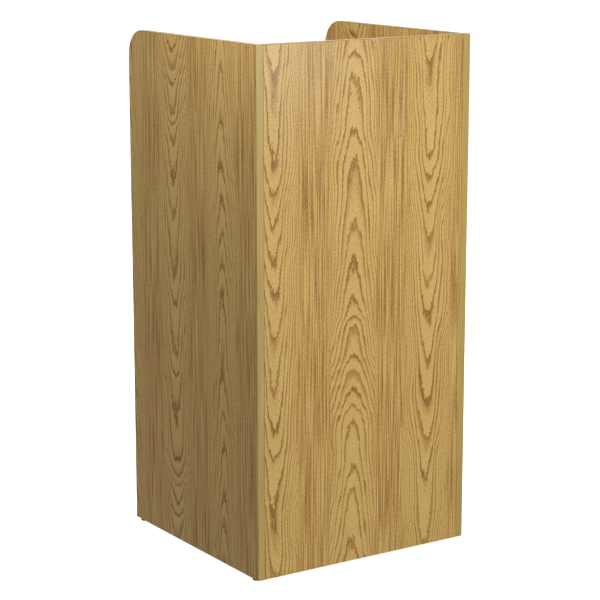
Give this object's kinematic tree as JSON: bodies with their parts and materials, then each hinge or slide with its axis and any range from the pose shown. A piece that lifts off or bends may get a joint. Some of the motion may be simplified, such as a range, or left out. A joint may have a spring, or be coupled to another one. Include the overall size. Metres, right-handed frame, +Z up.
{
  "type": "lectern podium",
  "caption": "Stand-up cabinet lectern of oak laminated board: full front, side panels with rounded rear corners, slanted reading top, adjustable shelf, open back.",
  "frame": {"origin": "on the floor under the middle of the lectern's width and depth", "axes": "+Z up; -Y to the audience and the front panel; +Y to the speaker and the open back; +X to the right of a person who faces the front panel"},
  "size_m": [0.512, 0.498, 1.067],
  "materials": {
    "oak_laminate": "satin printed oak laminate",
    "edge_band": "satin strip, plain oak colour",
    "glide_plastic": "matt dark brown",
    "steel": "bright zinc plated",
    "zinc": "as cast, tumbled",
    "beech": "raw, turned"
  },
  "bodies": {
    "cabinet": {"left_side_panel": "oak_laminate", "right_side_panel": "oak_laminate", "front_panel": "oak_laminate", "reading_top": "oak_laminate", "paper_stop": "oak_laminate", "bottom_shelf": "oak_laminate", "toe_rail": "oak_laminate", "left_rear_edge_band": "edge_band", "right_rear_edge_band": "edge_band", "left_front_edge_band": "edge_band", "right_front_edge_band": "edge_band", "front_panel_top_band": "edge_band", "paper_stop_top_band": "edge_band", "bottom_shelf_edge_band": "edge_band", "front_left_glide": "glide_plastic", "rear_left_glide": "glide_plastic", "front_right_glide": "glide_plastic", "rear_right_glide": "glide_plastic", "paper_stop_screw_1": "steel", "paper_stop_screw_2": "steel", "paper_stop_screw_3": "steel", "toe_rail_dowel_left_1": "beech", "toe_rail_dowel_left_2": "beech", "toe_rail_dowel_right_1": "beech", "toe_rail_dowel_right_2": "beech", "front_panel_bolt_left_1": "steel", "front_panel_bolt_right_1": "steel", "front_panel_bolt_left_2": "steel", "front_panel_bolt_right_2": "steel", "front_panel_bolt_left_3": "steel", "front_panel_bolt_right_3": "steel", "reading_top_bolt_left_1": "steel", "reading_top_bolt_right_1": "steel", "reading_top_bolt_left_2": "steel", "reading_top_bolt_right_2": "steel", "bottom_shelf_bolt_left_1": "steel", "bottom_shelf_bolt_right_1": "steel", "bottom_shelf_bolt_left_2": "steel", "bottom_shelf_bolt_right_2": "steel"},
    "shelf": {"adjustable_shelf": "oak_laminate", "adjustable_shelf_edge_band": "edge_band"},
    "front_left_shelf_pin": {"front_left_shelf_pin": "steel"},
    "rear_left_shelf_pin": {"rear_left_shelf_pin": "steel"},
    "front_right_shelf_pin": {"front_right_shelf_pin": "steel"},
    "rear_right_shelf_pin": {"rear_right_shelf_pin": "steel"},
    "front_panel_cam_left_1": {"front_panel_cam_left_1": "zinc"},
    "front_panel_cam_right_1": {"front_panel_cam_right_1": "zinc"},
    "front_panel_cam_left_2": {"front_panel_cam_left_2": "zinc"},
    "front_panel_cam_right_2": {"front_panel_cam_right_2": "zinc"},
    "front_panel_cam_left_3": {"front_panel_cam_left_3": "zinc"},
    "front_panel_cam_right_3": {"front_panel_cam_right_3": "zinc"},
    "reading_top_cam_left_1": {"reading_top_cam_left_1": "zinc"},
    "reading_top_cam_right_1": {"reading_top_cam_right_1": "zinc"},
    "reading_top_cam_left_2": {"reading_top_cam_left_2": "zinc"},
    "reading_top_cam_right_2": {"reading_top_cam_right_2": "zinc"},
    "bottom_shelf_cam_left_1": {"bottom_shelf_cam_left_1": "zinc"},
    "bottom_shelf_cam_right_1": {"bottom_shelf_cam_right_1": "zinc"},
    "bottom_shelf_cam_left_2": {"bottom_shelf_cam_left_2": "zinc"},
    "bottom_shelf_cam_right_2": {"bottom_shelf_cam_right_2": "zinc"}
  },
  "joints": [
    {"name": "shelf_slide", "type": "slide", "parent": "cabinet", "child": "shelf", "axis": [0, 1, 0], "range_m": [0, 0.48]},
    {"name": "front_left_pin_slide", "type": "slide", "parent": "cabinet", "child": "front_left_shelf_pin", "axis": [1, 0, 0], "range_m": [0, 0.012]},
    {"name": "rear_left_pin_slide", "type": "slide", "parent": "cabinet", "child": "rear_left_shelf_pin", "axis": [1, 0, 0], "range_m": [0, 0.012]},
    {"name": "front_right_pin_slide", "type": "slide", "parent": "cabinet", "child": "front_right_shelf_pin", "axis": [-1, 0, 0], "range_m": [0, 0.012]},
    {"name": "rear_right_pin_slide", "type": "slide", "parent": "cabinet", "child": "rear_right_shelf_pin", "axis": [-1, 0, 0], "range_m": [0, 0.012]},
    {"name": "front_panel_cam_left_1_turn", "type": "hinge", "parent": "cabinet", "child": "front_panel_cam_left_1", "pos_m": [-0.2157, -0.23315, 0.12], "axis": [0, 1, 0], "range_deg": [0, 170]},
    {"name": "front_panel_cam_right_1_turn", "type": "hinge", "parent": "cabinet", "child": "front_panel_cam_right_1", "pos_m": [0.2157, -0.23315, 0.12], "axis": [0, 1, 0], "range_deg": [0, 170]},
    {"name": "front_panel_cam_left_2_turn", "type": "hinge", "parent": "cabinet", "child": "front_panel_cam_left_2", "pos_m": [-0.2157, -0.23315, 0.56], "axis": [0, 1, 0], "range_deg": [0, 170]},
    {"name": "front_panel_cam_right_2_turn", "type": "hinge", "parent": "cabinet", "child": "front_panel_cam_right_2", "pos_m": [0.2157, -0.23315, 0.56], "axis": [0, 1, 0], "range_deg": [0, 170]},
    {"name": "front_panel_cam_left_3_turn", "type": "hinge", "parent": "cabinet", "child": "front_panel_cam_left_3", "pos_m": [-0.2157, -0.23315, 0.96], "axis": [0, 1, 0], "range_deg": [0, 170]},
    {"name": "front_panel_cam_right_3_turn", "type": "hinge", "parent": "cabinet", "child": "front_panel_cam_right_3", "pos_m": [0.2157, -0.23315, 0.96], "axis": [0, 1, 0], "range_deg": [0, 170]},
    {"name": "reading_top_cam_left_1_turn", "type": "hinge", "parent": "cabinet", "child": "reading_top_cam_left_1", "pos_m": [-0.2157, -0.14796, 1.00278], "axis": [0, -0.2079, -0.9781], "range_deg": [0, 170]},
    {"name": "reading_top_cam_right_1_turn", "type": "hinge", "parent": "cabinet", "child": "reading_top_cam_right_1", "pos_m": [0.2157, -0.14796, 1.00278], "axis": [0, -0.2079, -0.9781], "range_deg": [0, 170]},
    {"name": "reading_top_cam_left_2_turn", "type": "hinge", "parent": "cabinet", "child": "reading_top_cam_left_2", "pos_m": [-0.2157, 0.12592, 0.94457], "axis": [0, -0.2079, -0.9781], "range_deg": [0, 170]},
    {"name": "reading_top_cam_right_2_turn", "type": "hinge", "parent": "cabinet", "child": "reading_top_cam_right_2", "pos_m": [0.2157, 0.12592, 0.94457], "axis": [0, -0.2079, -0.9781], "range_deg": [0, 170]},
    {"name": "bottom_shelf_cam_left_1_turn", "type": "hinge", "parent": "cabinet", "child": "bottom_shelf_cam_left_1", "pos_m": [-0.2157, -0.17, 0.07515], "axis": [0, 0, -1], "range_deg": [0, 170]},
    {"name": "bottom_shelf_cam_right_1_turn", "type": "hinge", "parent": "cabinet", "child": "bottom_shelf_cam_right_1", "pos_m": [0.2157, -0.17, 0.07515], "axis": [0, 0, -1], "range_deg": [0, 170]},
    {"name": "bottom_shelf_cam_left_2_turn", "type": "hinge", "parent": "cabinet", "child": "bottom_shelf_cam_left_2", "pos_m": [-0.2157, 0.15, 0.07515], "axis": [0, 0, -1], "range_deg": [0, 170]},
    {"name": "bottom_shelf_cam_right_2_turn", "type": "hinge", "parent": "cabinet", "child": "bottom_shelf_cam_right_2", "pos_m": [0.2157, 0.15, 0.07515], "axis": [0, 0, -1], "range_deg": [0, 170]}
  ]
}
